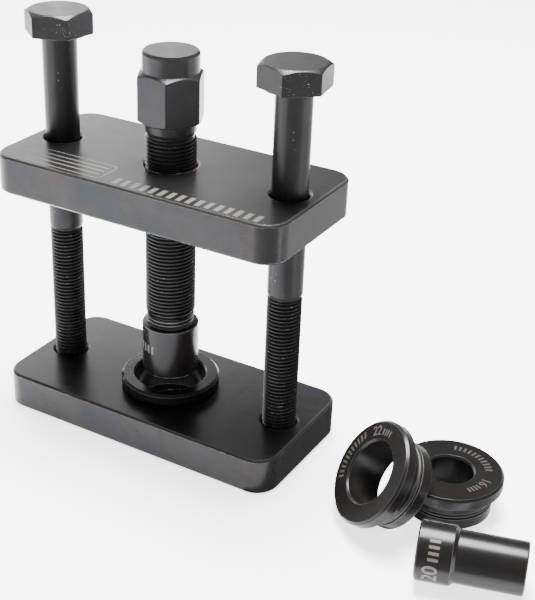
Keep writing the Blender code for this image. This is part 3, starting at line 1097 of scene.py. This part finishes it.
# The angles of each ring's number and of its row of bars, whose sizes are count, width, height and pitch
RING_MARKS = {"27": (122, 191), "22": (121, 190), "16": (-19, 67)}
RING_NUMBER_SIZE = 4.7 * MM
RING_NUMBER_DROP = 1.7 * MM
RING_BAR_SIZES = (11, 0.75 * MM, 2.6 * MM, 1.6 * MM)
RING_BAR_DROP = 1.3 * MM
for size, (number_angle, bar_angle) in RING_MARKS.items():
    middle = (RING_BORES[size] + RING_FLANGE_RADIUS) / 2
    place = ring_places[size]
    number = size_mark(size, RING_NUMBER_SIZE, 0.86)
    mark = ring_mark(f"size_mark_ring_{size}", number, middle - RING_NUMBER_DROP, number_angle, place)
    dress(mark, RING_MARK_LOOKS[size], f"ring_{size}")
    row = bars(*RING_BAR_SIZES)
    mark = ring_mark(f"bar_mark_ring_{size}", row, middle - RING_BAR_DROP, bar_angle, place)
    dress(mark, RING_MARK_LOOKS[size], f"ring_{size}")

# The blank label and the row of bars on top of the upper plate
BADGE_PLACE = (-29.0 * MM, -19.7 * MM)
STRIP_PLACE = (-7.0 * MM, -26.6 * MM)
PLATE_BAR_SIZES = (16, 1.9 * MM, 5.0 * MM, 3.75 * MM)
top_z = UPPER_PLATE_Z + PLATE_THICKNESS
badge = mark_object("blank_label_plate", plate_badge(), at(*BADGE_PLACE, top_z), lie_flat)
dress(badge, PLATE_MARK_LOOK, "upper_plate")
strip = mark_object("bar_mark_plate", bars(*PLATE_BAR_SIZES), at(*STRIP_PLACE, top_z), lie_flat)
dress(strip, PLATE_MARK_LOOK, "upper_plate")


# ---------------------------------------------------------------- floor, light and camera


def make_floor():
    """A pale floor that glows everywhere but under the lower plate's bore, where the missing glow is
    painted shade.
    """
    half = FLOOR_REACH
    corners = [(-half, -half, 0), (half, -half, 0), (half, half, 0), (-half, half, 0)]
    mesh = face_mesh("studio_floor", corners, [(0, 1, 2, 3)])
    floor = add_object("studio_floor", mesh)
    floor.location = PRESS + Vector((0, 0, -FLOOR_DROP))
    g = Graph("studio_floor_look")
    g.shader.inputs["Base Color"].default_value = (0.9, 0.9, 0.9, 1)
    g.shader.inputs["Roughness"].default_value = 0.9
    g.shader.inputs["Specular IOR Level"].default_value = 0.0
    g.shader.inputs["Emission Color"].default_value = (1, 1, 1, 1)
    away = g.node("ShaderNodeVectorMath")
    away.operation = "LENGTH"
    g.put(away.inputs[0], g.object_space)
    # No glow under the lower plate's bore: painted shade
    glow = g.span(away.outputs["Value"], *FLOOR_PAINTED_SHADE_RADII, 0.0, FLOOR)
    g.put(g.shader.inputs["Emission Strength"], glow)
    mesh.materials.append(g.material)


def make_light(name, place, target, size, power):
    lamp = bpy.data.lights.new(name, "AREA")
    lamp.shape = "RECTANGLE"
    lamp.size, lamp.size_y = size
    lamp.energy = power
    obj = add_object(name, lamp)
    obj.location = place
    obj.rotation_euler = (Vector(target) - Vector(place)).to_track_quat("-Z", "Y").to_euler()


def make_world():
    """A dim, even room that lights the press, seen as white paper beyond the floor's edge."""
    world = bpy.data.worlds.new("studio")
    bpy.context.scene.world = world
    world.use_nodes = True
    background = world.node_tree.nodes["Background"]
    background.inputs["Color"].default_value = (1.0, 0.99, 0.98, 1)
    sight = world.node_tree.nodes.new("ShaderNodeLightPath").outputs["Is Camera Ray"]
    strength = world.node_tree.nodes.new("ShaderNodeMapRange")
    strength.inputs["To Min"].default_value = ROOM
    strength.inputs["To Max"].default_value = HORIZON
    world.node_tree.links.new(sight, strength.inputs["Value"])
    world.node_tree.links.new(strength.outputs[0], background.inputs["Strength"])


def make_card(name, corners, glow):
    """A studio card that only reflections see. glow is its brightness, or a function that makes it."""
    points = [tuple(c * MM for c in corner) for corner in corners]
    mesh = face_mesh(name, points, [tuple(range(len(points)))])
    card = add_object(name, mesh)
    card.location = PRESS
    g = Graph(name + "_look")
    g.shader.inputs["Base Color"].default_value = (0.0, 0.0, 0.0, 1)
    g.shader.inputs["Specular IOR Level"].default_value = 0.0
    g.shader.inputs["Emission Color"].default_value = (1, 1, 1, 1)
    g.put(g.shader.inputs["Emission Strength"], glow(g) if callable(glow) else glow)
    mesh.materials.append(g.material)
    card.visible_camera = False
    card.visible_diffuse = False
    card.visible_shadow = False


def backdrop_glow(g):
    """White paper that fades out at its top and towards its right end."""
    parts = g.node("ShaderNodeSeparateXYZ", Vector=g.object_space)
    upward = g.span(parts.outputs["Z"], 0.30, 0.42, PAPER, PAPER_TOP)
    along_x = g.math("MULTIPLY", parts.outputs["X"], PAPER_WAY.x)
    across = g.math("ADD", along_x, g.math("MULTIPLY", parts.outputs["Y"], PAPER_WAY.y))
    return g.math("MULTIPLY", upward, g.span(across, -0.12, 0.20, 1.36, 0.06))


def make_cards():
    """The paper's bent-up back edge, dark cards in front and at the right, the nearer right one painted
    shadow of the floor, and a soft lamp at the left.
    """
    toward = LAMP_TOWARD.normalized()
    sideways = toward.cross(Vector((0, 0, 1))).normalized()
    upward = sideways.cross(toward)
    middle = toward * LAMP_AWAY + Vector((0, 0, LAMP_HEIGHT))
    lamp_corners = [
        tuple(middle + sideways * a * LAMP_HALF_WIDTH + upward * b * LAMP_HALF_HEIGHT)
        for a, b in ((-1, -1), (1, -1), (1, 1), (-1, 1))
    ]
    make_card("lamp_left", lamp_corners, LAMP_LEFT)
    left = (PAPER_AWAY - PAPER_ALONG).xy
    right = (PAPER_AWAY + PAPER_ALONG).xy
    paper_corners = [(*left, 0), (*right, 0), (*right, PAPER_HEIGHT), (*left, PAPER_HEIGHT)]
    make_card("paper_back", paper_corners, backdrop_glow)
    floor_cards = (
        ("dark_card_front", FRONT_CARD, 0.2, CARD_FRONT),
        ("grey_card_right", RIGHT_CARD, 0.2, CARD_SIDE),
        # The near dark card is painted shadow of the floor beside the lower plate
        ("painted_shadow_card_right", PAINTED_SHADOW_CARD, 0.4, PAINTED_SHADOW_GLOW),
    )
    for name, corners, height, glow in floor_cards:
        make_card(name, [(x, y, height) for x, y in corners], glow)


def make_camera():
    azimuth = math.radians(CAMERA_AZIMUTH)
    elevation = math.radians(CAMERA_ELEVATION)
    level = math.cos(elevation)
    back = Vector((math.sin(azimuth) * level, -math.cos(azimuth) * level, math.sin(elevation)))
    data = bpy.data.cameras.new("camera")
    data.lens = CAMERA_LENS
    data.sensor_width = 36.0
    data.shift_x, data.shift_y = CAMERA_SHIFT
    data.clip_start = 0.01
    camera = add_object("camera", data)
    camera.location = PRESS + CAMERA_TARGET + back * CAMERA_DISTANCE
    camera.rotation_mode = "QUATERNION"
    roll = Matrix.Rotation(math.radians(CAMERA_ROLL), 4, back)
    upright = (-back).to_track_quat("-Z", "Y").to_matrix().to_4x4()
    camera.rotation_quaternion = (roll @ upright).to_quaternion()
    bpy.context.scene.camera = camera


make_floor()
make_world()
make_cards()
make_light("key_overhead", *KEY_LIGHT)
make_camera()
